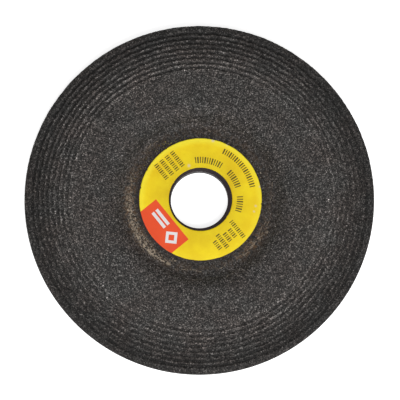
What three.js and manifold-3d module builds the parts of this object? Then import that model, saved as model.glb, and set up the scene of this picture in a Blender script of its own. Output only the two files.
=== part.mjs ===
// Depressed-centre grinding wheel (type 27): 100 mm across and 6 mm thick, for a 16 mm flange boss.
// Two pressed layers of aluminium-oxide grain in phenolic resin, three glass-fibre nets and a paper
// label, all cured together into one dished disc. The wheel lies on the back of its hub: the origin
// is the centre of that face, and +Z runs along the bore towards the grinding face. Millimetres.

import * as THREE from "three";
import { mergeVertices } from "three/addons/utils/BufferGeometryUtils.js";
import Module from "manifold-3d";

const wasm = await Module();
wasm.setup();

// ---- driving dimensions ----
const WHEEL_RADIUS = 50;
const BORE_RADIUS = 8.2; // 16 mm nominal, with moulding clearance
const THICKNESS = 6;
const RECESS_DEPTH = 4; // how far the centre is set back from the grinding face
const FRONT_Z = THICKNESS + RECESS_DEPTH;
const FLOOR_Z = FRONT_Z - RECESS_DEPTH;
const SEGMENTS = 48;

// The dish: a flat recess floor, a tight fillet, a wide brow, then the flat grinding face. The two
// arcs meet tangent, so their radii and the depth fix the angle that each turns through.
const FLOOR_RADIUS = 20.3;
const FILLET = 2.6;
const BROW = 7.8;
const RAMP_ANGLE = Math.acos(1 - RECESS_DEPTH / (FILLET + BROW));
const BROW_END_RADIUS = FLOOR_RADIUS + (FILLET + BROW) * Math.sin(RAMP_ANGLE);
const ARC_STEPS = 2;

// The working zone: the face rolls off towards the rim and carries moulded run-in grooves.
const ROLL_START = 36.2;
const ROLL_DROP = 1.6;
const ROLL_RADIUS = ((WHEEL_RADIUS - ROLL_START) ** 2 + ROLL_DROP ** 2) / (2 * ROLL_DROP);
const GROOVE_COUNT = 8;
const GROOVE_PITCH = 1.432;
const FIRST_GROOVE = 37.62;
const GROOVE_DEPTH = 0.4;
const RIM_CHAMFER = 0.3;

// The nets, and how far below the grinding face each full-size one starts.
const NET_THICKNESS = 0.5;
const MIDDLE_NET_DEPTH = 3.4;
const BACK_NET_DEPTH = THICKNESS - NET_THICKNESS;
const FULL_NET = { pitch: 10, yarn: 1.5 };
const HUB_NET = { pitch: 5, yarn: 1.1 };
const HUB_NET_RADIUS = 19.9;
const CHANNEL_GAP = 0.1; // clearance between a yarn and the grain pressed round it

const LABEL_OUTER_RADIUS = 17.55;
const LABEL_BORE_RADIUS = 9.1;
const LABEL_THICKNESS = 0.2;
const LABEL_SHIFT = [0.35, 0.1]; // the label is laid in a little off centre
const LABEL_CURVE_SEGMENTS = 32;

// ---- solids ----

// A closed three.js geometry as a solid that can be joined and cut.
function solid(geometry) {
  const bare = geometry.clone();
  bare.deleteAttribute("normal");
  bare.deleteAttribute("uv");
  const merged = mergeVertices(bare, 1e-4);
  return new wasm.Manifold(
    new wasm.Mesh({
      numProp: 3,
      vertProperties: merged.attributes.position.array,
      triVerts: new Uint32Array(merged.index.array),
    }),
  );
}

// A solid as a three.js geometry.
function geometryOf(made) {
  const { vertProperties, triVerts } = made.getMesh();
  const geometry = new THREE.BufferGeometry();
  geometry.setAttribute("position", new THREE.BufferAttribute(vertProperties, 3));
  geometry.setIndex(new THREE.BufferAttribute(triVerts, 1));
  return geometry;
}

// Turns an outline of (radius, z) points about the bore's axis. LatheGeometry turns about +Y, and
// a quarter turn about +X brings that axis to +Z.
function turned(outline) {
  const closed = [...outline, outline[0]].map(([radius, z]) => new THREE.Vector2(radius, z));
  return solid(new THREE.LatheGeometry(closed, SEGMENTS).rotateX(Math.PI / 2));
}

// ---- the dish ----

// Points along an arc of the (radius, z) plane, both ends included.
function arc(centreRadius, centreZ, size, from, to) {
  return Array.from({ length: ARC_STEPS + 1 }, (_, i) => {
    const angle = from + ((to - from) * i) / ARC_STEPS;
    return [centreRadius + size * Math.cos(angle), centreZ + size * Math.sin(angle)];
  });
}

// The ramp from recess floor to flat face, at a depth below the front. Each depth is a curve
// parallel to the front one: its fillet grows by the depth and its brow shrinks by it.
function ramp(depth) {
  const down = -Math.PI / 2;
  const up = Math.PI / 2;
  const foot = arc(FLOOR_RADIUS, FLOOR_Z + FILLET, FILLET + depth, down, down + RAMP_ANGLE);
  const brow = arc(BROW_END_RADIUS, FRONT_Z - BROW, BROW - depth, up + RAMP_ANGLE, up);
  return [...foot, ...brow.slice(1)];
}

// The dish's curve at a depth, from an inner radius on the floor to an outer one on the face.
function dishCurve(depth, inner, outer) {
  return [[inner, FLOOR_Z - depth], ...ramp(depth), [outer, FRONT_Z - depth]];
}

// A dished shell between two depths. A margin widens it at the bore and at the rim.
function dish(topDepth, bottomDepth, margin = 0) {
  const inner = BORE_RADIUS - margin;
  const outer = WHEEL_RADIUS + margin;
  return turned([
    ...dishCurve(bottomDepth, inner, outer),
    ...dishCurve(topDepth, inner, outer).reverse(),
  ]);
}

// ---- the nets ----

// The openings between a net's yarns, as upright square prisms on a grid turned by an angle.
function openings({ pitch, yarn }, angle, gap) {
  const reach = Math.ceil(WHEEL_RADIUS / pitch);
  const width = pitch - yarn - 2 * gap;
  const prisms = [];
  for (let i = -reach; i <= reach; i += 1) {
    for (let j = -reach; j <= reach; j += 1) {
      const prism = new THREE.BoxGeometry(width, width, 4 * FRONT_Z);
      prisms.push(solid(prism.translate(i * pitch, j * pitch, 0).rotateZ(angle)));
    }
  }
  return prisms.reduce((joined, prism) => joined.add(prism));
}

// A full-size net, pressed to the dish's shape. With a gap it is the channel that the net lies in.
function fullNet(depth, angle, gap = 0) {
  const shell = dish(depth - gap, depth + NET_THICKNESS + gap, gap);
  return shell.subtract(openings(FULL_NET, angle, gap));
}

// The small net, flush in the recess floor. With a gap it is the channel that the net lies in.
function hubNet(gap = 0) {
  const inner = BORE_RADIUS - gap;
  const outer = HUB_NET_RADIUS + gap;
  const top = FLOOR_Z + gap;
  const bottom = FLOOR_Z - NET_THICKNESS - gap;
  const shell = turned([
    [inner, bottom],
    [outer, bottom],
    [outer, top],
    [inner, top],
  ]);
  return shell.subtract(openings(HUB_NET, 0, gap));
}

const middleNet = (gap) => fullNet(MIDDLE_NET_DEPTH, Math.PI / 4, gap);
const backNet = (gap) => fullNet(BACK_NET_DEPTH, 0, gap);

// ---- the bonded layers ----

function rolledZ(radius) {
  const along = radius - ROLL_START;
  return FRONT_Z - (ROLL_RADIUS - Math.sqrt(ROLL_RADIUS ** 2 - along ** 2));
}

// The front curve from the flat to the rim: crests and grooves on the roll-off, and an edge chamfer.
function workingCurve() {
  const points = [[ROLL_START, FRONT_Z]];
  for (let i = 0; i < GROOVE_COUNT; i += 1) {
    const groove = FIRST_GROOVE + i * GROOVE_PITCH;
    const crest = groove - GROOVE_PITCH / 2;
    points.push([crest, rolledZ(crest)], [groove, rolledZ(groove) - GROOVE_DEPTH]);
  }
  const lastCrest = FIRST_GROOVE + (GROOVE_COUNT - 0.5) * GROOVE_PITCH;
  const edge = WHEEL_RADIUS - RIM_CHAMFER;
  points.push([lastCrest, rolledZ(lastCrest)], [edge, rolledZ(edge)]);
  points.push([WHEEL_RADIUS, rolledZ(edge) - RIM_CHAMFER]);
  return points;
}

// Coarse-grit layer: recess, grooved working face, and the hub net's channel in the recess floor.
function grindingLayer() {
  const front = [[BORE_RADIUS, FLOOR_Z], ...ramp(0), ...workingCurve()];
  const back = dishCurve(MIDDLE_NET_DEPTH, BORE_RADIUS, WHEEL_RADIUS);
  return turned([...back, ...front.reverse()]).subtract(hubNet(CHANNEL_GAP));
}

// Finer-grit layer behind it. The grain fills the openings of the net on either face.
function backingLayer() {
  return dish(MIDDLE_NET_DEPTH, THICKNESS)
    .subtract(middleNet(CHANNEL_GAP))
    .subtract(backNet(CHANNEL_GAP));
}

// ---- the label ----

function labelRing() {
  const ring = new THREE.Shape().absarc(0, 0, LABEL_OUTER_RADIUS, 0, 2 * Math.PI);
  ring.holes.push(new THREE.Path().absarc(0, 0, LABEL_BORE_RADIUS, 0, 2 * Math.PI, true));
  return new THREE.ExtrudeGeometry(ring, {
    depth: LABEL_THICKNESS,
    bevelEnabled: false,
    curveSegments: LABEL_CURVE_SEGMENTS,
  });
}

// ---- assembly ----

const grain = () => new THREE.MeshStandardMaterial({ color: 0x403e3d, roughness: 0.8, metalness: 0 });
const fineGrain = () => new THREE.MeshStandardMaterial({ color: 0x2f2d2c, roughness: 0.85, metalness: 0 });
const glassNet = () => new THREE.MeshStandardMaterial({ color: 0x9a7f58, roughness: 0.6, metalness: 0 });
const paper = () => new THREE.MeshStandardMaterial({ color: 0xf2d61f, roughness: 0.45, metalness: 0 });

const wheel = new THREE.Group();

function add(name, geometry, material) {
  const mesh = new THREE.Mesh(geometry, material);
  mesh.name = name;
  wheel.add(mesh);
  return mesh;
}

add("grinding_layer", geometryOf(grindingLayer()), grain());
add("middle_net", geometryOf(middleNet(0)), glassNet());
add("backing_layer", geometryOf(backingLayer()), fineGrain());
add("back_net", geometryOf(backNet(0)), glassNet());
add("hub_net", geometryOf(hubNet(0)), glassNet());
add("paper_label", labelRing(), paper()).position.set(...LABEL_SHIFT, FLOOR_Z);

export default wheel;
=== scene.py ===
import math

import bmesh
import bpy
import numpy as np
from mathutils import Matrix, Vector


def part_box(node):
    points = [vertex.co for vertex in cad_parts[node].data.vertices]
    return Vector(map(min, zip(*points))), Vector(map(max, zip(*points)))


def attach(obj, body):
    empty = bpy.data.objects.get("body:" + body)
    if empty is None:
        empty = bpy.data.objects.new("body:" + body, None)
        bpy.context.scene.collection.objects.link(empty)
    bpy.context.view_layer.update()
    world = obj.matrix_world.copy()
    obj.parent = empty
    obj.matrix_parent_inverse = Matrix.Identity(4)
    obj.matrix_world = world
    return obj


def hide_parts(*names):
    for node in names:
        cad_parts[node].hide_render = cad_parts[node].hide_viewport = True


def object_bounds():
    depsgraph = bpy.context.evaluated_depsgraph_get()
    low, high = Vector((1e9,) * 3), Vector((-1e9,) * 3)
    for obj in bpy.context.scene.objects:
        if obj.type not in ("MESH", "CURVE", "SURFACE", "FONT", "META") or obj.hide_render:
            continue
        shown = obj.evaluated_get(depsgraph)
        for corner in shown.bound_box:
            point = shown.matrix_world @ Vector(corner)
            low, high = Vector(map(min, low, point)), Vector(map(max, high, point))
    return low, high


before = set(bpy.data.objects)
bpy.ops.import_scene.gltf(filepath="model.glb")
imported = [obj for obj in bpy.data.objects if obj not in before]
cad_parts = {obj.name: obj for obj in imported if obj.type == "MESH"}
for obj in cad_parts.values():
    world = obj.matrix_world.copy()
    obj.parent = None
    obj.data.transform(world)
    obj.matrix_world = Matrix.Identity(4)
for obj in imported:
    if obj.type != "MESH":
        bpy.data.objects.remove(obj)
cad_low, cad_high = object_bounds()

MM = 0.001


# ---- Camera ----
# A long lens looks almost straight down the bore, tipped a little towards -Y, so that the far wall
# of the bore just shows. The wheel fills most of the square picture.

wheel_radius = cad_high.x
face_height = cad_high.z
picture_width = 113.7 * MM
camera_distance = 0.6
camera_elevation = math.radians(85.2)
aim = Vector((0.2 * MM, -0.45 * MM, face_height))

camera_data = bpy.data.cameras.new("camera")
camera_data.lens = camera_data.sensor_width * camera_distance / picture_width
camera_data.clip_start = 0.01
camera = bpy.data.objects.new("camera", camera_data)
camera_back = Vector((0, -math.cos(camera_elevation), math.sin(camera_elevation)))
camera.location = aim + camera_back * camera_distance
camera.rotation_mode = "QUATERNION"
camera.rotation_quaternion = (-camera_back).to_track_quat("-Z", "Y")
bpy.context.scene.collection.objects.link(camera)
bpy.context.scene.camera = camera
bpy.context.scene.view_settings.view_transform = "Standard"


# ---- Floor and lights ----
# A plain white floor under a round softbox that stands towards -Y, in a pale room that fills the
# shadows. The floor glows a little, so that the wheel's shadow stays light.


def new_material(name):
    """A node material and its Principled shader."""
    material = bpy.data.materials.new(name)
    material.use_nodes = True
    return material, material.node_tree.nodes["Principled BSDF"]


def add_node(material, kind, inputs=None, **settings):
    """A shader node with its settings, its sockets given as values or as sockets to link from."""
    made = material.node_tree.nodes.new("ShaderNode" + kind)
    for name, value in settings.items():
        setattr(made, name, value)
    for name, value in (inputs or {}).items():
        if isinstance(value, bpy.types.NodeSocket):
            material.node_tree.links.new(value, made.inputs[name])
        else:
            made.inputs[name].default_value = value
    return made


floor_half = 1.5
floor_mesh = bpy.data.meshes.new("floor")
floor_corners = [(-1, -1), (1, -1), (1, 1), (-1, 1)]
floor_places = [(x * floor_half, y * floor_half, 0) for x, y in floor_corners]
floor_mesh.from_pydata(floor_places, [], [(0, 1, 2, 3)])
floor = bpy.data.objects.new("floor", floor_mesh)
bpy.context.scene.collection.objects.link(floor)
floor_paint, floor_shader = new_material("floor_white")
floor_shader.inputs["Base Color"].default_value = (0.86, 0.86, 0.86, 1)
floor_shader.inputs["Roughness"].default_value = 0.9
floor_shader.inputs["Emission Color"].default_value = (1, 1, 1, 1)
floor_shader.inputs["Emission Strength"].default_value = 0.75
floor_mesh.materials.append(floor_paint)

room = bpy.data.worlds.new("room")
room.use_nodes = True
room.node_tree.nodes["Background"].inputs["Color"].default_value = (1, 1, 1, 1)
room.node_tree.nodes["Background"].inputs["Strength"].default_value = 0.3
bpy.context.scene.world = room

softbox_bearing = math.radians(285)
softbox_lean = math.radians(24)
softbox_distance = 0.8
softbox_place = softbox_distance * Vector(
    (
        math.sin(softbox_lean) * math.cos(softbox_bearing),
        math.sin(softbox_lean) * math.sin(softbox_bearing),
        math.cos(softbox_lean),
    )
)
softbox_data = bpy.data.lights.new("softbox", "AREA")
softbox_data.shape = "DISK"
softbox_data.size = 0.4
softbox_data.energy = 4.6
softbox = bpy.data.objects.new("softbox", softbox_data)
softbox.location = softbox_place
softbox.rotation_mode = "QUATERNION"
softbox.rotation_quaternion = (-softbox_place).to_track_quat("-Z", "Y")
bpy.context.scene.collection.objects.link(softbox)


# ---- Grinding layer ----
# The working layer: coarse aluminium-oxide grain in dark phenolic resin, hot-pressed in a mould that
# leaves the dished centre and eight run-in grooves. The bore keeps a smooth resin skin.

bore_radius = 8.2 * MM
recess_radius = 20.3 * MM
recess_depth = 4 * MM
fillet = 2.6 * MM
brow = 7.8 * MM
roll_start = 36.2 * MM
roll_drop = 1.6 * MM
groove_count = 8
groove_pitch = 1.432 * MM
first_groove = 37.62 * MM
groove_depth = 0.4 * MM
rim_chamfer = 0.3 * MM
seam_depth = face_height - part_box("grinding_layer")[0].z - recess_depth

ramp_angle = math.acos(1 - recess_depth / (fillet + brow))
brow_end = recess_radius + (fillet + brow) * math.sin(ramp_angle)
groove_start = first_groove - groove_pitch / 2
groove_end = groove_start + groove_count * groove_pitch
recess_height = face_height - recess_depth


def dish_height(radius, depth):
    """Height of the dish's curve at a depth below the face: flat floor, then a circle of the fillet's
    radius plus the depth curving up, a circle of the brow's radius less the depth curving over, flat."""
    foot_size = fillet + depth
    brow_size = brow - depth
    foot_end = recess_radius + foot_size * math.sin(ramp_angle)
    foot_reach = np.clip(radius - recess_radius, 0, foot_size * math.sin(ramp_angle))
    brow_reach = np.clip(brow_end - radius, 0, brow_size * math.sin(ramp_angle))
    foot = recess_height - depth + foot_size - np.sqrt(foot_size**2 - foot_reach**2)
    over = face_height - depth - brow_size + np.sqrt(brow_size**2 - brow_reach**2)
    return np.where(radius < foot_end, foot, over)


def groove_share(radius):
    """How deep a point lies in its groove: a raised cosine, 0 on the crests and 1 in the middle."""
    inside = (radius > groove_start) & (radius < groove_end)
    turn = 2 * np.pi * (radius - groove_start) / groove_pitch
    return np.where(inside, 0.5 - 0.5 * np.cos(turn), 0)


def face_curve(radius):
    """Height of the front: the dish, less the roll-off's circular fall, less the grooves."""
    roll_radius = ((wheel_radius - roll_start) ** 2 + roll_drop**2) / (2 * roll_drop)
    along = np.clip(radius - roll_start, 0, None)
    fall = roll_radius - np.sqrt(roll_radius**2 - along**2)
    return dish_height(radius, 0) - fall - groove_depth * groove_share(radius)


def lattice_noise(points, size, seed):
    """Random heights from 0 to 1 on a cubic lattice of this size, blended smoothly between the eight
    corners round each point. The heights come from a seeded table read by the corner's indices."""
    table = np.random.default_rng(seed).random(4096)
    scaled = points / size
    corner = np.floor(scaled).astype(np.int64)
    part = scaled - corner
    part = part * part * (3 - 2 * part)
    total = np.zeros(points.shape[:-1])
    for step in np.ndindex(2, 2, 2):
        at = corner + np.array(step)
        key = (at[..., 0] * 73856093) ^ (at[..., 1] * 19349663) ^ (at[..., 2] * 83492791)
        share = np.where(np.array(step) == 1, part, 1 - part).prod(axis=-1)
        total += share * table[key % len(table)]
    return total


def wander(points):
    """How far the grooves stray from true circles, grain by grain: some 0.2 mm at most either way."""
    return 0.45 * MM * (lattice_noise(points * (1, 1, 0), 0.75 * MM, seed=12) - 0.5)


def turned_points(radius, height, spokes):
    """A closed outline carried round the bore: row i, spoke j stands at the outline's radius times
    the cosine and sine of the spoke's angle, at the outline's height. Gives points and normals."""
    angle = np.linspace(0, 2 * np.pi, spokes, endpoint=False)
    ring = np.stack([np.cos(angle), np.sin(angle)], axis=1)
    flat = radius[:, None, None] * ring
    points = np.dstack([flat, np.broadcast_to(height[:, None], flat.shape[:2])])
    along_radius = np.roll(radius, -1) - np.roll(radius, 1)
    along_height = np.roll(height, -1) - np.roll(height, 1)
    length = np.hypot(along_radius, along_height)
    out = (along_height / length)[:, None, None] * ring
    up = np.broadcast_to((-along_radius / length)[:, None], out.shape[:2])
    return points, np.dstack([out, up])


def sink_in(points, normals, sunk):
    """Moves points in along their normals, or level with themselves where they lie on the rim."""
    moved = points - normals * sunk[..., None]
    on_rim = np.hypot(points[..., 0], points[..., 1]) > wheel_radius - 0.001 * MM
    moved[on_rim, 2] = points[on_rim, 2]
    return moved


def ring_quads(rows, columns):
    """Quads over a grid that closes on itself both ways."""
    index = np.arange(rows * columns).reshape(rows, columns)
    after = np.roll(index, -1, axis=0)
    return np.stack([index, np.roll(index, -1, 1), np.roll(after, -1, 1), after], axis=-1).reshape(-1, 4)


def make_piece(name, points, faces, values=None, smooth=True):
    """A mesh object from an array of points and one of faces, a row of corners each, with a number a
    point for each named attribute. It rides on the wheel's one body."""
    count, corners = faces.shape
    mesh = bpy.data.meshes.new(name)
    mesh.vertices.add(len(points))
    mesh.vertices.foreach_set("co", points.astype(np.float32).ravel())
    mesh.loops.add(faces.size)
    mesh.loops.foreach_set("vertex_index", faces.astype(np.int32).ravel())
    mesh.polygons.add(count)
    mesh.polygons.foreach_set("loop_start", np.arange(0, faces.size, corners, dtype=np.int32))
    mesh.polygons.foreach_set("use_smooth", np.full(count, smooth))
    for label, numbers in (values or {}).items():
        attribute = mesh.attributes.new(label, "FLOAT", "POINT")
        attribute.data.foreach_set("value", numbers.astype(np.float32).ravel())
    mesh.update(calc_edges=True)
    piece = bpy.data.objects.new(name, mesh)
    bpy.context.scene.collection.objects.link(piece)
    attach(piece, "root")
    return piece


def outline_of(*stretches):
    """Joins stretches of (radius, height) arrays into one closed outline."""
    radius = np.concatenate([np.broadcast_to(r, np.broadcast(r, z).shape) for r, z in stretches])
    height = np.concatenate([np.broadcast_to(z, np.broadcast(r, z).shape) for r, z in stretches])
    return radius, height


layer_spokes = 620
front_radius = np.concatenate(
    [
        np.linspace(bore_radius + 0.1 * MM, 17 * MM, 4),
        np.linspace(17.4 * MM, recess_radius, 9),
        np.linspace(recess_radius, brow_end, 25)[1:],
        np.linspace(brow_end, groove_start, 20)[1:],
        np.linspace(groove_start, groove_end, 8 * groove_count + 1)[1:],
        np.linspace(groove_end, wheel_radius - rim_chamfer, 6)[1:],
    ]
)
rim_top = face_curve(np.array([wheel_radius]))[0] - rim_chamfer
edge_row = 0.03 * MM
back_radius = np.linspace(bore_radius, wheel_radius, 10)[:-1]
layer_radius, layer_height = outline_of(
    (back_radius, dish_height(back_radius, seam_depth)),
    (wheel_radius, face_height - seam_depth + edge_row * np.array([0, 1])),
    (wheel_radius, np.linspace(face_height - seam_depth + 0.3 * MM, rim_top, 5)),
    (front_radius[::-1], face_curve(front_radius[::-1])),
    (bore_radius, np.linspace(recess_height - 0.1 * MM, recess_height - seam_depth + 0.4 * MM, 4)),
)
grain_points, grain_normals = turned_points(layer_radius, layer_height, layer_spokes)

# The resin sinks up to 0.25 mm below the mould's face between the grains, straight in on the rim, and
# the pressing is slightly uneven. Under the label and in the bore the mould left the layer smooth.
smooth_radius = 17.3 * MM
smooth_fade = 0.7 * MM
point_radius = np.hypot(grain_points[..., 0], grain_points[..., 1])
lumps = lattice_noise(grain_points, 0.45 * MM, seed=11)
uneven = lattice_noise(grain_points, 4 * MM, seed=13)
rough = np.clip((point_radius - smooth_radius) / smooth_fade, 0, 1)
sunk = rough * (0.06 + 0.13 * lumps + 0.06 * uneven) * MM

# The grooves stray from true circles. The straying fades out over 0.5 mm at either end of the zone.
stray_end = 49 * MM
stray_fade = 0.5 * MM
in_grooves = np.clip(np.minimum(point_radius - roll_start, stray_end - point_radius) / stray_fade, 0, 1)
on_front = grain_points[..., 2] > face_height - seam_depth + 0.5 * MM
stray = -wander(grain_points) * in_grooves * on_front
grain_points = sink_in(grain_points, grain_normals, sunk)
grain_points[..., :2] *= (1 + stray / point_radius)[..., None]


# Bearings that set the painted light on the grooves: their painted shade and the crests' painted highlights
# are faintest along the first diameter, strongest along the second and stronger again round the third.
faintest_relief_light = math.radians(15)
strongest_relief_light = math.radians(108)
extra_relief_light = math.radians(176)


def groove_tone(points):
    """How light the grain is at a place, with painted shade and painted highlights in it. The recess floor
    is darkened with painted shade, the grooves are darkened by dark resin and by painted shade in their
    hollows, their crests are lightened by rubbing and by a painted highlight, and the working zone
    darkens steadily towards the rim. The painted shade in the grooves and the painted highlights on the
    crests vary with bearing, as light falls: weakest along one diameter, strongest along the one square
    to it and a little stronger at one end of that, with a bump at a bearing of its own."""
    radius = np.hypot(points[..., 0], points[..., 1]) + wander(points)
    bearing = np.arctan2(points[..., 1], points[..., 0])
    # Strength of the painted shade in the grooves and of the painted highlight on the crests, by bearing.
    wear_and_shading = 0.86 - 0.25 * np.cos(2 * (bearing - faintest_relief_light)) + 0.16 * np.cos(bearing - strongest_relief_light)
    wear_and_shading = wear_and_shading + 0.25 * np.exp(7 * (np.cos(bearing - extra_relief_light) - 1))
    # Painted shade darkens the recess floor.
    recess_painted_shade = 1 - 0.45 * np.clip((22 * MM - radius) / (2.2 * MM), 0, 1)
    zone = np.clip((radius - groove_start) / (groove_end - groove_start), 0, 1)
    share = groove_share(radius)
    in_zone = (radius > groove_start) & (radius < groove_end)
    shoulder = np.exp(-((np.clip(groove_start - radius, 0, None) / (0.35 * MM)) ** 2))
    crest = np.where(in_zone, (1 - share) ** 2, shoulder * (radius < groove_start))
    working = np.where(in_zone, 1.5 - 1.0 * zone, 1 - 0.44 * zone)
    return recess_painted_shade * working * (1 + 0.5 * wear_and_shading * crest) * (1 - 0.6 * wear_and_shading * share)


# Dust: pale fibre dust along the hub net's cut edge, most of it on the side that frayed. Stain: the
# brown resin that came up through the net, round the dust and in a patch of its own.
frayed_edge = 19.9 * MM
frayed_side = 205
stained_side = 193
far_side = 321
bearing = np.degrees(np.arctan2(grain_points[..., 1], grain_points[..., 0])) % 360
from_edge = point_radius - frayed_edge
dust = np.exp(-((from_edge / (1.0 * MM)) ** 2))
dust = dust * (1.25 * np.exp(-(((bearing - frayed_side) / 30) ** 2)) + 0.06)
stain = np.exp(-((from_edge / (1.7 * MM)) ** 2))
far_patch = np.exp(-(((bearing - far_side) / 17) ** 2))
stain = stain * (0.17 + 0.75 * np.exp(-(((bearing - stained_side) / 36) ** 2)) + 0.7 * far_patch)
# The tone attribute carries painted shade in the recess and grooves and painted highlights on the crests.
layer = make_piece(
    "grinding_resin",
    grain_points.reshape(-1, 3),
    ring_quads(*point_radius.shape),
    {"tone": groove_tone(grain_points), "dust": dust, "stain": stain, "skin": 1 - rough},
)


def mix_colors(material, share, low, high, blend="MIX"):
    """A colour that goes from low to high, or to their product, with a share."""
    mix = add_node(material, "Mix", data_type="RGBA", blend_type=blend)
    for socket, value in ((0, share), (6, low), (7, high)):
        if isinstance(value, bpy.types.NodeSocket):
            material.node_tree.links.new(value, mix.inputs[socket])
        else:
            mix.inputs[socket].default_value = value
    return mix.outputs[2]


def color_ramp(material, value, stops):
    """A colour read from (place, colour) stops at a value."""
    ramp = add_node(material, "ValToRGB", {"Fac": value})
    while len(ramp.color_ramp.elements) < len(stops):
        ramp.color_ramp.elements.new(0.5)
    for element, (place, color) in zip(ramp.color_ramp.elements, stops):
        element.position = place
        element.color = (*color, 1)
    return ramp.outputs["Color"]


def named_value(material, name):
    """The piece's own attribute of that name."""
    return add_node(material, "Attribute", attribute_name=name).outputs["Fac"]


def object_place(material):
    """The place on the piece, in metres."""
    return add_node(material, "TexCoord").outputs["Object"]


def wire(material, shader, **sockets):
    """Links sockets to the shader's inputs of the same names, with _ for a space."""
    for name, socket in sockets.items():
        material.node_tree.links.new(socket, shader.inputs[name.replace("_", " ")])


def warm(grey):
    """A warm near-neutral of this lightness, as fired alumina and dark resin have."""
    return (grey, grey * 0.93, grey * 0.895)


def bonded_grain(name, grit_size, greys):
    """Fine grit in resin: each cell of a Voronoi pattern of the grit's size takes a tone from a ramp
    of (place, grey), warmed and cooled by slow noise, with its own roughness, under a fine bump."""
    material, shader = new_material(name)
    place = object_place(material)
    cells = add_node(material, "TexVoronoi", {"Vector": place, "Scale": 1 / grit_size})
    pick = add_node(material, "SeparateColor", {"Color": cells.outputs["Color"]})
    grains = color_ramp(material, pick.outputs["Red"], [(at, warm(grey)) for at, grey in greys])
    slow = add_node(material, "TexNoise", {"Vector": place, "Scale": 130, "Detail": 3})
    casts = [(0.36, (1.06, 0.99, 0.95)), (0.64, (0.97, 1.0, 0.99))]
    cast = color_ramp(material, slow.outputs["Fac"], casts)
    color = mix_colors(material, 1, grains, cast, "MULTIPLY")
    gloss = add_node(material, "MapRange", {"Value": pick.outputs["Green"], "To Min": 0.5, "To Max": 0.9})
    pits = add_node(material, "TexNoise", {"Vector": place, "Scale": 1.4 / grit_size, "Detail": 4})
    bump = add_node(
        material, "Bump", {"Strength": 0.6, "Distance": 0.3 * grit_size, "Height": pits.outputs["Fac"]}
    )
    normal = bump.outputs["Normal"]
    wire(material, shader, Base_Color=color, Roughness=gloss.outputs["Result"], Normal=normal)
    shader.inputs["Specular IOR Level"].default_value = 0.25
    return material, shader, color


coarse_greys = [(0.0, 0.009), (0.4, 0.023), (0.75, 0.062), (0.94, 0.14), (1.0, 0.25)]
coarse_paint, coarse_shader, grains = bonded_grain("coarse_grain", 0.26 * MM, coarse_greys)
# The tone attribute brings in the painted shade and painted highlights of groove_tone.
toned = mix_colors(coarse_paint, 1, grains, named_value(coarse_paint, "tone"), "MULTIPLY")


def in_clumps(material, name, scale, thinnest, thickest):
    """The piece's attribute of that name, broken into clumps by noise between two levels."""
    noise = add_node(material, "TexNoise", {"Vector": object_place(material), "Scale": scale, "Detail": 5})
    span = {"From Min": thinnest, "From Max": thickest}
    clumps = add_node(material, "MapRange", {"Value": noise.outputs["Fac"], **span})
    share = {0: named_value(material, name), 1: clumps.outputs["Result"]}
    return add_node(material, "Math", share, operation="MULTIPLY").outputs[0]


stain_share = in_clumps(coarse_paint, "stain", scale=1100, thinnest=0.4, thickest=0.6)
stained = mix_colors(coarse_paint, stain_share, toned, (0.135, 0.075, 0.036, 1))
dust_share = in_clumps(coarse_paint, "dust", scale=2100, thinnest=0.52, thickest=0.64)
dusted = mix_colors(coarse_paint, dust_share, stained, (0.56, 0.465, 0.36, 1))
finished = mix_colors(coarse_paint, named_value(coarse_paint, "skin"), dusted, (0.026, 0.017, 0.019, 1))
wire(coarse_paint, coarse_shader, Base_Color=finished)
layer.data.materials.append(coarse_paint)
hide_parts("grinding_layer")


# ---- Grinding grit ----
# The aluminium-oxide grains that stand out of the working layer's resin: angular crushed crystals,
# dark brown to grey, pressed against the mould so that their highest corners all meet its face.


def angular_grains(spots, outward, sizes, rng):
    """Angular grains, all at once. Each is an octahedron turned at random, whose six corners lie at
    0.6 to 1 of half the grain's size along its axes, set so that the corner that is highest along
    the outward direction just reaches its spot. Gives points and triangles."""
    turn = np.linalg.qr(rng.normal(size=(len(spots), 3, 3)))[0]
    turn *= np.linalg.det(turn)[:, None, None]
    reach = rng.uniform(0.6, 1, (len(spots), 3, 2)) * sizes[:, None, None] / 2
    corners = np.concatenate([turn * reach[:, :, :1], -turn * reach[:, :, 1:]], axis=1)
    highest = (corners @ outward[:, :, None]).max(axis=1)
    points = corners + (spots - outward * highest)[:, None, :]
    upper = [[0, 1, 2], [1, 3, 2], [3, 4, 2], [4, 0, 2]]
    lower = [[1, 0, 5], [3, 1, 5], [4, 3, 5], [0, 4, 5]]
    sides = np.array(upper + lower)
    first = 6 * np.arange(len(spots))
    return points.reshape(-1, 3), (first[:, None, None] + sides).reshape(-1, 3)


def spots_on(curve, inner, outer, count, rng, facing=1):
    """Random places, evenly over the area, on a surface turned from a curve of height against radius.
    The outward direction is square to the curve, up or down. Gives places and directions."""
    radius = np.sqrt(rng.uniform(inner**2, outer**2, count))
    angle = rng.uniform(0, 2 * np.pi, count)
    ring = np.stack([np.cos(angle), np.sin(angle)], axis=1)
    step = 0.01 * MM
    slope = (curve(radius + step) - curve(radius - step)) / (2 * step)
    outward = facing * np.column_stack([-slope[:, None] * ring, np.ones(count)])
    outward /= np.linalg.norm(outward, axis=1, keepdims=True)
    places = np.column_stack([radius[:, None] * ring, curve(radius)])
    return places, outward


def spots_on_rim(low, high, count, rng):
    """Random places on the wheel's rim between two heights, facing straight out."""
    angle = rng.uniform(0, 2 * np.pi, count)
    outward = np.column_stack([np.cos(angle), np.sin(angle), np.zeros(count)])
    places = wheel_radius * outward
    places[:, 2] = rng.uniform(low, high, count)
    return places, outward


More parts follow.
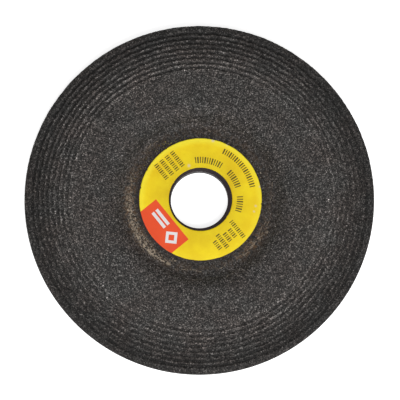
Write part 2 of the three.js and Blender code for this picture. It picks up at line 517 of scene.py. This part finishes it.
def make_grit(name, groups, smallest, largest, tone, rng):
    """One piece of grains on several groups of spots, each set 0.03 to 0.1 mm deep, with a random
    shade a grain and the tone of its place."""
    places, outward = (np.concatenate(part) for part in zip(*groups))
    places = places - outward * rng.uniform(0.03, 0.1, len(places))[:, None] * MM
    sizes = rng.uniform(smallest, largest, len(places))
    points, triangles = angular_grains(places, outward, sizes, rng)
    shade = np.repeat(rng.random(len(places)), 6)
    return make_piece(
        name, points, triangles, {"shade": shade, "tone": np.repeat(tone(places), 6)}, smooth=False
    )


def grit_material(name, greys):
    """Crushed crystal: a tone a grain from a ramp of (place, grey), clouded inside by fine noise, and
    glassier on the lighter grains."""
    material, shader = new_material(name)
    shade = named_value(material, "shade")
    crystal = color_ramp(material, shade, [(at, warm(grey)) for at, grey in greys])
    cloud = add_node(material, "TexNoise", {"Vector": object_place(material), "Scale": 3200, "Detail": 3})
    haze = cloud.outputs["Fac"]
    clouds = color_ramp(material, haze, [(0.3, (0.7, 0.68, 0.66)), (0.7, (1.2, 1.2, 1.22))])
    clouded = mix_colors(material, 1, crystal, clouds, "MULTIPLY")
    toned_grain = mix_colors(material, 1, clouded, named_value(material, "tone"), "MULTIPLY")
    gloss = add_node(material, "MapRange", {"Value": shade, "To Min": 0.7, "To Max": 0.35})
    bump = add_node(material, "Bump", {"Strength": 0.3, "Distance": 0.03 * MM, "Height": haze})
    normal = bump.outputs["Normal"]
    wire(material, shader, Base_Color=toned_grain, Roughness=gloss.outputs["Result"], Normal=normal)
    shader.inputs["Specular IOR Level"].default_value = 0.3
    return material


grit_random = np.random.default_rng(15)
grit_start = 18 * MM
front_count = 20500
rim_count = 1100
front_spots = spots_on(face_curve, grit_start, wheel_radius - 0.4 * MM, front_count, grit_random)
rim_low = face_height - seam_depth + 0.2 * MM
rim_spots = spots_on_rim(rim_low, rim_top - 0.1 * MM, rim_count, grit_random)
# The front grit takes groove_tone too, with its painted shade and painted highlights.
grit = make_grit("grinding_grit", [front_spots, rim_spots], 0.28 * MM, 0.62 * MM, groove_tone, grit_random)
crystal_greys = [(0.0, 0.008), (0.4, 0.031), (0.7, 0.085), (0.9, 0.22), (1.0, 0.46)]
grit.data.materials.append(grit_material("coarse_grit", crystal_greys))


# ---- Hub net ----
# A small disc of woven glass yarn pressed into the recess floor to carry the clamping load. Its cut
# edge shows past the label as frayed fibres, most of them along one side.

hub_net_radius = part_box("hub_net")[1].x


def strands(paths, half_width, half_height, sides=8):
    """Flat oval tubes along paths, all at once: from each point of a path, half_width times the
    cosine along the level sideways direction plus half_height times the sine along the upward one.
    A flat cap closes each end. Gives points, quads and a (length, turn) pair for each face corner."""
    ahead = np.gradient(paths, axis=1)
    ahead /= np.linalg.norm(ahead, axis=-1, keepdims=True)
    side = np.cross(ahead, (0, 0, 1))
    side /= np.linalg.norm(side, axis=-1, keepdims=True)
    above = np.cross(side, ahead)
    ends = [0, *range(paths.shape[1]), -1]
    paths, side, above = paths[:, ends], side[:, ends], above[:, ends]
    count, steps = paths.shape[:2]
    size = np.ones((steps, 1))
    size[[0, -1]] = 0
    turn = np.linspace(0, 2 * np.pi, sides, endpoint=False)
    wide = (half_width * size * np.cos(turn))[None, ..., None] * side[:, :, None, :]
    high = (half_height * size * np.sin(turn))[None, ..., None] * above[:, :, None, :]
    points = (paths[:, :, None, :] + wide + high).reshape(-1, 3)
    index = np.arange(count * steps * sides).reshape(count, steps, sides)
    beside = np.roll(index, -1, axis=2)
    quads = np.stack([index[:, :-1], index[:, 1:], beside[:, 1:], beside[:, :-1]], axis=-1)
    run = np.linalg.norm(np.diff(paths, axis=1), axis=-1).cumsum(axis=1)
    run = np.concatenate([np.zeros((count, 1)), run], axis=1)[:, :, None]
    corner = np.zeros(quads.shape + (2,))
    corner[..., 0] = np.stack([run[:, :-1], run[:, 1:], run[:, 1:], run[:, :-1]], axis=-1)
    around = np.arange(sides) / sides
    corner[..., 1] = np.stack([around, around, around + 1 / sides, around + 1 / sides], axis=-1)
    return points, quads.reshape(-1, 4), corner.reshape(-1, 2)


def close_up(piece):
    """Merges the points that meet and turns the faces outwards."""
    shape = bmesh.new()
    shape.from_mesh(piece.data)
    bmesh.ops.remove_doubles(shape, verts=shape.verts, dist=1e-7)
    bmesh.ops.recalc_face_normals(shape, faces=shape.faces)
    shape.to_mesh(piece.data)
    shape.free()


def make_strands(name, *groups):
    """One piece from several groups of strands, with the (length, turn) pairs as its UV map."""
    first = np.cumsum([0] + [len(points) for points, _, _ in groups])
    points = np.concatenate([points for points, _, _ in groups])
    quads = np.concatenate([quads + start for (_, quads, _), start in zip(groups, first)])
    piece = make_piece(name, points, quads)
    pairs = np.concatenate([pairs for _, _, pairs in groups]).astype(np.float32)
    piece.data.uv_layers.new(name="along").uv.foreach_set("vector", pairs.ravel())
    close_up(piece)
    return piece


def woven_paths(pitch, inner, outer, half_width, height, weave, turned, steps):
    """Middle lines of a plain weave. Yarns lie half a pitch off the middle and then a pitch apart,
    each cut where its side would pass the outer circle or the inner one, and each rises and dips by
    the weave as a cosine of its length, opposite to its neighbour. Height is read at the radius."""
    rows = int(outer / pitch + 0.5)
    offset = (np.arange(-rows, rows) + 0.5) * pitch
    offset = offset[np.abs(offset) < outer - 2 * half_width]
    reach = np.sqrt(outer**2 - (np.abs(offset) + half_width) ** 2)
    hole = np.sqrt(np.clip(inner**2 - np.clip(np.abs(offset) - half_width, 0, None) ** 2, 0, None))
    crossing = hole > 0
    start = np.concatenate([-reach, hole[crossing]])
    end = np.concatenate([np.where(crossing, -hole, reach), reach[crossing]])
    lane = np.concatenate([offset, offset[crossing]])
    along = start[:, None] + (end - start)[:, None] * np.linspace(0, 1, steps)
    across = np.broadcast_to(lane[:, None], along.shape)
    sign = np.where(np.round(lane / pitch - 0.5).astype(int) % 2 == 0, 1, -1)[:, None]
    wave = sign * weave * np.cos(np.pi * (along / pitch - 0.5))
    sets = []
    for angle, side in ((turned, 1), (turned + math.pi / 2, -1)):
        x = along * math.cos(angle) - across * math.sin(angle)
        y = along * math.sin(angle) + across * math.cos(angle)
        sets.append(np.stack([x, y, height(np.hypot(x, y)) + side * wave], axis=-1))
    return np.concatenate(sets)


yarn_pitch = 5 * MM
hub_yarn_half = 0.55 * MM
hub_yarns = woven_paths(
    pitch=yarn_pitch,
    inner=bore_radius + 0.3 * MM,
    outer=hub_net_radius,
    half_width=hub_yarn_half,
    height=lambda radius: np.full_like(radius, recess_height - 0.36 * MM),
    weave=0.05 * MM,
    turned=0,
    steps=40,
)

# Frayed fibres: short arcs round the net's edge, each at its own slant, lying among the grains. Most
# lie on the frayed side, some on the far side and a few all round.
fray = np.random.default_rng(21)
side_fray = fray.normal(frayed_side, 25, 105)
far_fray = fray.normal(far_side, 12, 20)
fray_home = np.concatenate([side_fray, far_fray, fray.uniform(0, 360, 16)])
fray_length = fray.uniform(0.8, 3.6, len(fray_home)) * MM
fray_middle = (20.15 + fray.normal(0, 0.5, len(fray_home))) * MM
fray_slant = np.clip(fray.normal(0, 0.3, len(fray_home)), -0.5, 0.5)
along_fray = np.linspace(-0.5, 0.5, 9)
fray_angle = np.radians(fray_home)[:, None] + (fray_length / fray_middle)[:, None] * along_fray
fray_radius = fray_middle[:, None] + (fray_length * np.tan(fray_slant))[:, None] * along_fray
fray_radius = fray_radius + fray.normal(0, 0.05, fray_radius.shape) * MM

# Where the edge folded up, five long fibres run side by side, each farther out and shorter than the
# one before.
fold = np.arange(5)
fold_start = np.radians(203 + 3 * fold)
fold_end = np.radians(247 - 4 * fold)
fold_angle = np.linspace(fold_start, fold_end, 40, axis=1)
fold_radius = (20.35 + 0.12 * fold)[:, None] * MM + 0.12 * MM * np.sin(9 * fold_angle)


def lying_paths(radius, angle, lift):
    """Paths at these radii and angles, a lift above the grain, with both ends tucked 0.15 mm under."""
    tucked = 0.15 * MM * np.abs(np.linspace(-1, 1, radius.shape[1])) ** 4
    height = face_curve(radius) + lift - tucked
    return np.stack([radius * np.cos(angle), radius * np.sin(angle), height], axis=-1)


fray_lift = fray.normal(-0.01, 0.03, (len(fray_home), 1)) * MM
hub_net = make_strands(
    "hub_net_yarns",
    strands(hub_yarns, hub_yarn_half, half_height=0.14 * MM),
    strands(lying_paths(fray_radius, fray_angle, fray_lift), 0.06 * MM, 0.035 * MM, sides=5),
    strands(lying_paths(fold_radius, fold_angle, 0.03 * MM), 0.09 * MM, 0.05 * MM, sides=5),
)


def glass_yarn(name, dark, light, resin_share, blot_scale=420, blot_edge=0.06):
    """Resin-soaked glass yarn: fine filaments along its length, from noise stretched on the UV map,
    between a dark and a light tan, with blots of dark resin over a share of it. The blots' noise has
    a scale, and a softness at the edge."""
    material, shader = new_material(name)
    uv = add_node(material, "UVMap", uv_map="along").outputs["UV"]
    stretched = add_node(material, "Mapping", {"Vector": uv, "Scale": (300, 14, 1)}).outputs["Vector"]
    filaments = add_node(material, "TexNoise", {"Vector": stretched, "Scale": 1, "Detail": 3})
    glass = color_ramp(material, filaments.outputs["Fac"], [(0.3, dark), (0.7, light)])
    place = object_place(material)
    blots = add_node(material, "TexNoise", {"Vector": place, "Scale": blot_scale, "Detail": 4})
    edge = 0.3 + 0.4 * resin_share
    span = {"From Min": edge + blot_edge, "From Max": edge - blot_edge}
    cover = add_node(material, "MapRange", {"Value": blots.outputs["Fac"], **span})
    color = mix_colors(material, cover.outputs["Result"], glass, (0.02, 0.018, 0.017, 1))
    ridges = {"Strength": 0.5, "Distance": 0.05 * MM, "Height": filaments.outputs["Fac"]}
    bump = add_node(material, "Bump", ridges)
    wire(material, shader, Base_Color=color, Normal=bump.outputs["Normal"])
    shader.inputs["Roughness"].default_value = 0.6
    shader.inputs["Specular IOR Level"].default_value = 0.3
    return material


hub_glass = glass_yarn("hub_glass_yarn", (0.16, 0.11, 0.065), (0.58, 0.49, 0.385), 0.42, blot_scale=1500)
hub_net.data.materials.append(hub_glass)
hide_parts("hub_net")


# ---- Paper label ----
# A ring of coated yellow paper laid in the mould on the recess floor, so that it is pressed flat
# into the grain and takes a faint relief from it. It sits a little off centre.

label_low, label_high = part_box("paper_label")
label_x = (label_low.x + label_high.x) / 2
label_y = (label_low.y + label_high.y) / 2
label_radius = (label_high.x - label_low.x) / 2
label_bore = 9.1 * MM
label_top = label_high.z - 0.02 * MM
ring_radius, ring_height = outline_of(
    (np.array([label_bore, label_radius]), label_low.z),
    (np.linspace(label_radius, label_bore, 32), label_top),
)
label_points, _ = turned_points(ring_radius, ring_height, spokes=480)
relief = lattice_noise(label_points, 0.8 * MM, seed=31) + 2 * lattice_noise(label_points, 4 * MM, seed=32)
on_top = label_points[..., 2] > (label_low.z + label_top) / 2
label_points[..., 2] -= on_top * 0.012 * MM * relief

# The cut edges wander by up to 0.07 mm, with a few torn nicks up to 0.25 mm deep.
ragged = lattice_noise(label_points, 1.2 * MM, seed=33)
nicks = np.clip(lattice_noise(label_points * (1, 1, 0), 0.7 * MM, seed=34) - 0.88, 0, None)
label_points[..., :2] *= (1 - 0.004 * ragged - 0.12 * nicks)[..., None]

# Scuffs, where the coating is rubbed to pale fibre: a bearing in degrees, then the distance out and
# the size in millimetres.
scuffs = [
    (78, 17.3, 0.8),
    (64, 17.4, 0.4),
    (109, 10.2, 0.7),
    (-7, 15.9, 0.5),
    (-13, 15.7, 0.45),
    (12, 17.4, 0.5),
]
scuffed = np.zeros(label_points.shape[:2])
for scuff_bearing, scuff_distance, scuff_size in scuffs:
    scuff_angle = math.radians(scuff_bearing)
    gap_x = label_points[..., 0] - scuff_distance * MM * math.cos(scuff_angle)
    gap_y = label_points[..., 1] - scuff_distance * MM * math.sin(scuff_angle)
    scuffed += np.exp(-(gap_x**2 + gap_y**2) / (0.5 * scuff_size * MM) ** 2)

# Painted shade darkens the label towards the bore. Its outer edge is paler, most of all on one side.
label_distance = np.hypot(label_points[..., 0], label_points[..., 1])
label_bearing = np.arctan2(label_points[..., 1], label_points[..., 0])
bore_shade = 0.9 + 0.2 * (label_distance - label_bore) / (label_radius - label_bore)
pale_side = 0.5 + 0.5 * np.cos(label_bearing - math.radians(100))
pale = np.clip((label_distance - 15.6 * MM) / (1.4 * MM), 0, 1) * (0.12 + 0.6 * pale_side)
label_points[..., :2] += (label_x, label_y)
label_values = {"scuff": scuffed, "bore_shade": bore_shade, "pale": pale}
label = make_piece("label_paper", label_points.reshape(-1, 3), ring_quads(*scuffed.shape), label_values)


def printed_paper(name, low, high):
    """Coated paper or ink: a colour that drifts slowly between two shades, with fine fibre bump."""
    material, shader = new_material(name)
    place = object_place(material)
    drift = add_node(material, "TexNoise", {"Vector": place, "Scale": 160, "Detail": 4})
    color = color_ramp(material, drift.outputs["Fac"], [(0.35, low), (0.65, high)])
    fibres = add_node(material, "TexNoise", {"Vector": place, "Scale": 2600, "Detail": 3})
    felt = {"Strength": 0.25, "Distance": 0.03 * MM, "Height": fibres.outputs["Fac"]}
    bump = add_node(material, "Bump", felt)
    gloss = add_node(material, "MapRange", {"Value": drift.outputs["Fac"], "To Min": 0.5, "To Max": 0.68})
    normal = bump.outputs["Normal"]
    wire(material, shader, Base_Color=color, Roughness=gloss.outputs["Result"], Normal=normal)
    shader.inputs["Specular IOR Level"].default_value = 0.2
    return material, shader, color


yellow_paint, yellow_shader, yellow = printed_paper("label_yellow", (0.81, 0.56, 0.006), (0.92, 0.70, 0.012))
# Painted shade: the label's yellow darkens towards the bore.
bore_shaded = mix_colors(yellow_paint, 1, yellow, named_value(yellow_paint, "bore_shade"), "MULTIPLY")
edged = mix_colors(yellow_paint, named_value(yellow_paint, "pale"), bore_shaded, (0.97, 0.86, 0.05, 1))
wear_and_shading = mix_colors(yellow_paint, named_value(yellow_paint, "scuff"), edged, (0.72, 0.62, 0.5, 1))
wire(yellow_paint, yellow_shader, Base_Color=wear_and_shading)
label.data.materials.append(yellow_paint)
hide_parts("paper_label")


# ---- Label crumbs ----
# Crumbs of yellow paper that came off the label's cut edge. They were pressed into the grain beside
# it when the wheel was moulded, most of them at one place, and have darkened with resin.

crumb_count = 30
crumb_random = np.random.default_rng(35)
crumb_angle = np.radians(crumb_random.normal(132, 14, crumb_count))
crumb_radius = crumb_random.uniform(17.9, 19.6, crumb_count) * MM
crumb_sizes = crumb_random.uniform(0.15, 0.42, crumb_count) * MM
crumb_up = np.tile([0.0, 0.0, 1.0], (crumb_count, 1))
crumb_places = np.column_stack(
    [crumb_radius * np.cos(crumb_angle), crumb_radius * np.sin(crumb_angle), face_curve(crumb_radius)]
)
crumb_points, crumb_faces = angular_grains(crumb_places, crumb_up, crumb_sizes, crumb_random)
crumbs = make_piece("label_crumbs", crumb_points, crumb_faces, smooth=False)
crumbs.data.materials.append(printed_paper("crumb_yellow", (0.16, 0.13, 0.02), (0.42, 0.33, 0.03))[0])


# ---- Label print ----
# Three inks printed on the label: an orange-red patch across one side, a plain white mark on it, and
# dark strokes in rows where the printed lines run. The marks are generic and spell nothing.

print_turn = math.radians(129)
ink_low = label_top - 0.05 * MM
ink_top = label_high.z - 0.006 * MM


def plates(name, plans, low, high):
    """Thin closed plates from grids of (across, up) places on the label, one plate a grid: the grid
    at the higher level, the same grid at the lower one, and a wall between their borders."""
    count, rows, columns = plans.shape[:3]
    x = plans[..., 0] * math.cos(print_turn) - plans[..., 1] * math.sin(print_turn) + label_x
    y = plans[..., 0] * math.sin(print_turn) + plans[..., 1] * math.cos(print_turn) + label_y
    levels = [np.stack([x, y, np.full_like(x, level)], axis=-1) for level in (high, low)]
    points = np.stack(levels, axis=1)
    index = np.arange(points.size // 3).reshape(count, 2, rows, columns)
    corners = [index[:, :, :-1, :-1], index[:, :, :-1, 1:], index[:, :, 1:, 1:], index[:, :, 1:, :-1]]
    sheets = np.stack(corners, axis=-1).reshape(-1, 4)
    flat = np.arange(rows * columns).reshape(rows, columns)
    border = np.concatenate([flat[0, :-1], flat[:-1, -1], flat[-1, :0:-1], flat[:0:-1, 0]])
    edges = index.reshape(count, 2, -1)[:, :, border]
    after = np.roll(edges, -1, axis=2)
    wall = np.stack([edges[:, 0], edges[:, 1], after[:, 1], after[:, 0]], axis=-1).reshape(-1, 4)
    piece = make_piece(name, points.reshape(-1, 3), np.concatenate([sheets, wall]), smooth=False)
    close_up(piece)
    return piece


def finish_print(piece, low, high):
    """Gives a print its ink."""
    piece.data.materials.append(printed_paper(piece.name + "_ink", low, high)[0])


patch_across = np.linspace(-6.8, 8.0, 40)[:, None] * MM
patch_inner = 9.9 * MM
patch_outer = np.sqrt((label_radius - 0.04 * MM) ** 2 - patch_across**2)
patch_up = patch_inner + (patch_outer - patch_inner) * np.linspace(0, 1, 12)
patch_plan = np.stack([np.broadcast_to(patch_across, patch_up.shape), patch_up], axis=-1)[None]
patch = plates("label_patch", patch_plan, ink_low, ink_top - 0.008 * MM)
finish_print(patch, (0.80, 0.075, 0.02), (0.88, 0.095, 0.026))


def bars(spans):
    """A 2 by 2 grid for each upright bar, given as (left, right, low, high) in millimetres."""
    left, right, low, high = (np.array(spans) * MM).T
    across = np.stack([np.stack([left, right], -1)] * 2, axis=1)
    up = np.stack([np.stack([low, low], -1), np.stack([high, high], -1)], axis=1)
    return np.stack([across, up], axis=-1)


# The mark: a hollow diamond, whose four sides are slanted bars that stop a hair short of each other,
# and two plain bars beside it.
diamond_corners = 2.3 * np.array([(1, 0), (0, 1), (-1, 0), (0, -1), (1, 0)])
diamond_edge = np.stack([diamond_corners[:-1], diamond_corners[1:]], axis=1)
diamond_edge += 0.003 * (diamond_edge.mean(axis=1, keepdims=True) - diamond_edge)
diamond = np.stack([diamond_edge, 0.5 * diamond_edge], axis=1) * MM + np.array([-3.3, 13.4]) * MM
mark_bars = bars([(0.1, 5.6, 12.6, 13.5), (0.1, 5.6, 11.2, 12.1)])
mark = plates("label_mark", np.concatenate([diamond, mark_bars]), ink_low, ink_top)
finish_print(mark, (0.74, 0.72, 0.71), (0.82, 0.81, 0.81))


def stroke_row(length, height, pitch):
    """Bars for a row of equal upright strokes, wide and narrow by turns, centred on its length."""
    order = np.arange(int(length / pitch))
    width = np.where(order % 3 == 1, 0.6, 0.4) * pitch
    left = (order - order.mean()) * pitch - width / 2
    return bars(np.column_stack([left, left + width, np.zeros_like(left), np.full_like(left, height)]))


def straight_row(center_across, base_up, length, height):
    """A row of strokes standing on a straight line across the label."""
    return stroke_row(length, height, pitch=0.62) + np.array([center_across, base_up]) * MM


def curved_row(radius, center_angle, length, height):
    """A row of strokes standing on an arc round the bore, with their tops towards it: the distance
    along the row becomes an angle, and the height comes off the radius."""
    row = stroke_row(length, height, pitch=0.74)
    angle = math.radians(center_angle) + row[..., 0] / (radius * MM)
    out = radius * MM - row[..., 1]
    return np.stack([out * np.cos(angle), out * np.sin(angle)], axis=-1)


# Two blocks of straight rows, one under another, then three short rows on the inner arc and one long
# row on the outer arc.
right_lengths = (5.8, 5.6, 5.8, 5.6)
left_lengths = (3.2, 5.0, 3.2, 3.2, 6.4)
inner_rows = ((-136, 5.6), (-98, 6.0), (-51, 9.0))
rows = [straight_row(13.2, 3.1 - 1.95 * k, length, 1.25) for k, length in enumerate(right_lengths)]
rows += [straight_row(-13.3, 3.9 - 1.83 * k, length, 1.25) for k, length in enumerate(left_lengths)]
rows += [curved_row(12.2, angle, length, 1.8) for angle, length in inner_rows]
rows += [curved_row(16.1, -90, 15.4, 1.6)]
strokes = plates("label_strokes", np.concatenate(rows), ink_low, ink_top)
finish_print(strokes, (0.10, 0.075, 0.01), (0.16, 0.12, 0.016))


# ---- Middle net ----
# A full-size net of woven glass yarn between the two layers of grain, turned an eighth of a turn to
# the one at the back. Only its cut yarn ends show, round the rim and in the bore.

net_thickness = 0.5 * MM
middle_yarn_half = 0.6 * MM
past_the_cut = 0.7 * MM
middle_yarns = woven_paths(
    pitch=yarn_pitch,
    inner=bore_radius - past_the_cut,
    outer=wheel_radius + past_the_cut,
    half_width=middle_yarn_half,
    height=lambda radius: dish_height(radius, seam_depth + net_thickness / 2),
    weave=0.06 * MM,
    turned=math.pi / 4,
    steps=60,
)
middle_strands, middle_quads, middle_pairs = strands(middle_yarns, middle_yarn_half, 0.17 * MM, sides=6)

# The ends are brought back level with the rim and the bore, so that each cut face lies in the wall.
strand_radius = np.hypot(middle_strands[:, 0], middle_strands[:, 1])
cut_radius = np.clip(strand_radius, bore_radius + 0.004 * MM, wheel_radius - 0.004 * MM)
middle_strands[:, :2] *= (cut_radius / strand_radius)[:, None]
middle_net = make_strands("middle_net_yarns", (middle_strands, middle_quads, middle_pairs))
middle_glass = glass_yarn("middle_glass_yarn", (0.12, 0.08, 0.045), (0.40, 0.29, 0.18), 0.2)
middle_net.data.materials.append(middle_glass)
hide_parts("middle_net")


# ---- Backing layer ----
# The rear layer, of finer grain in the same resin, pressed over the dish's back. It is smoother and
# blacker than the front, and sinks a little between the yarns of the net that faces it.

back_depth = face_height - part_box("backing_layer")[0].z - recess_depth
rear_depth = back_depth - 0.13 * MM
rear_radius = np.concatenate(
    [
        np.linspace(wheel_radius - 0.25 * MM, brow_end, 42),
        np.linspace(brow_end, recess_radius, 26)[1:],
        np.linspace(recess_radius, bore_radius + 0.15 * MM, 24)[1:],
    ]
)
hidden_radius = np.linspace(bore_radius, wheel_radius, 12)[1:-1]
backing_rim = np.linspace(face_height - rear_depth + 0.25 * MM, face_height - seam_depth - 0.3 * MM, 6)
backing_radius, backing_height = outline_of(
    (hidden_radius[::-1], dish_height(hidden_radius[::-1], seam_depth)),
    (bore_radius, np.linspace(recess_height - seam_depth, recess_height - rear_depth + 0.15 * MM, 5)),
    (rear_radius[::-1], dish_height(rear_radius[::-1], rear_depth)),
    (wheel_radius, backing_rim),
    (wheel_radius, face_height - seam_depth + edge_row * np.array([-1, 0])),
)
backing_points, backing_normals = turned_points(backing_radius, backing_height, layer_spokes)
backing_distance = np.hypot(backing_points[..., 0], backing_points[..., 1])
backing_rough = np.clip((backing_distance - bore_radius) / (0.6 * MM), 0.1, 1)
backing_lumps = lattice_noise(backing_points, 0.42 * MM, seed=51)
backing_lumps = backing_lumps + lattice_noise(backing_points, 3 * MM, seed=52)
backing_points = sink_in(backing_points, backing_normals, 0.05 * MM * backing_rough * backing_lumps)
backing = make_piece("backing_resin", backing_points.reshape(-1, 3), ring_quads(*backing_distance.shape))
fine_greys = [(0.0, 0.01), (0.4, 0.02), (0.8, 0.035), (0.96, 0.06), (1.0, 0.1)]
backing.data.materials.append(bonded_grain("fine_grain", 0.22 * MM, fine_greys)[0])
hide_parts("backing_layer")


# ---- Backing grit ----
# The finer aluminium-oxide grains of the rear layer, pressed up to the mould's face and its rim. They
# stand out less than the front's and are blacker with resin.


def back_curve(radius):
    """Height of the wheel's back, a little above the plane that the back net's crowns reach."""
    return dish_height(radius, back_depth - 0.06 * MM)


def even_tone(places):
    """The same tone everywhere: the back has no rubbed crests and no painted shade or highlights."""
    return np.ones(len(places))


fine_random = np.random.default_rng(55)
back_count = 13000
back_rim_count = 1900
back_inner = bore_radius + 0.5 * MM
back_outer = wheel_radius - 0.35 * MM
back_spots = spots_on(back_curve, back_inner, back_outer, back_count, fine_random, facing=-1)
back_rim_low = face_height - back_depth + 0.35 * MM
back_rim_high = face_height - seam_depth - 0.55 * MM
back_rim_spots = spots_on_rim(back_rim_low, back_rim_high, back_rim_count, fine_random)
fine_grit = make_grit(
    "backing_grit", [back_spots, back_rim_spots], 0.2 * MM, 0.42 * MM, even_tone, fine_random
)
fine_crystal_greys = [(0.0, 0.014), (0.5, 0.03), (0.85, 0.055), (0.96, 0.1), (1.0, 0.2)]
fine_grit.data.materials.append(grit_material("fine_grit", fine_crystal_greys))


# ---- Back net ----
# The second full-size net, pressed into the back until it is flush. The black resin has come up
# through it and covers much of the yarn, which shows as a raised grid.

back_yarn_half = 0.62 * MM
back_yarns = woven_paths(
    pitch=yarn_pitch,
    inner=bore_radius + 0.3 * MM,
    outer=wheel_radius - 0.25 * MM,
    half_width=back_yarn_half,
    height=lambda radius: dish_height(radius, back_depth - 0.19 * MM),
    weave=0.035 * MM,
    turned=0,
    steps=110,
)
back_net = make_strands("back_net_yarns", strands(back_yarns, back_yarn_half, half_height=0.14 * MM))
back_glass = glass_yarn(
    "back_glass_yarn", (0.06, 0.043, 0.026), (0.19, 0.14, 0.088), 0.52, blot_scale=700, blot_edge=0.16
)
back_net.data.materials.append(back_glass)
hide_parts("back_net")
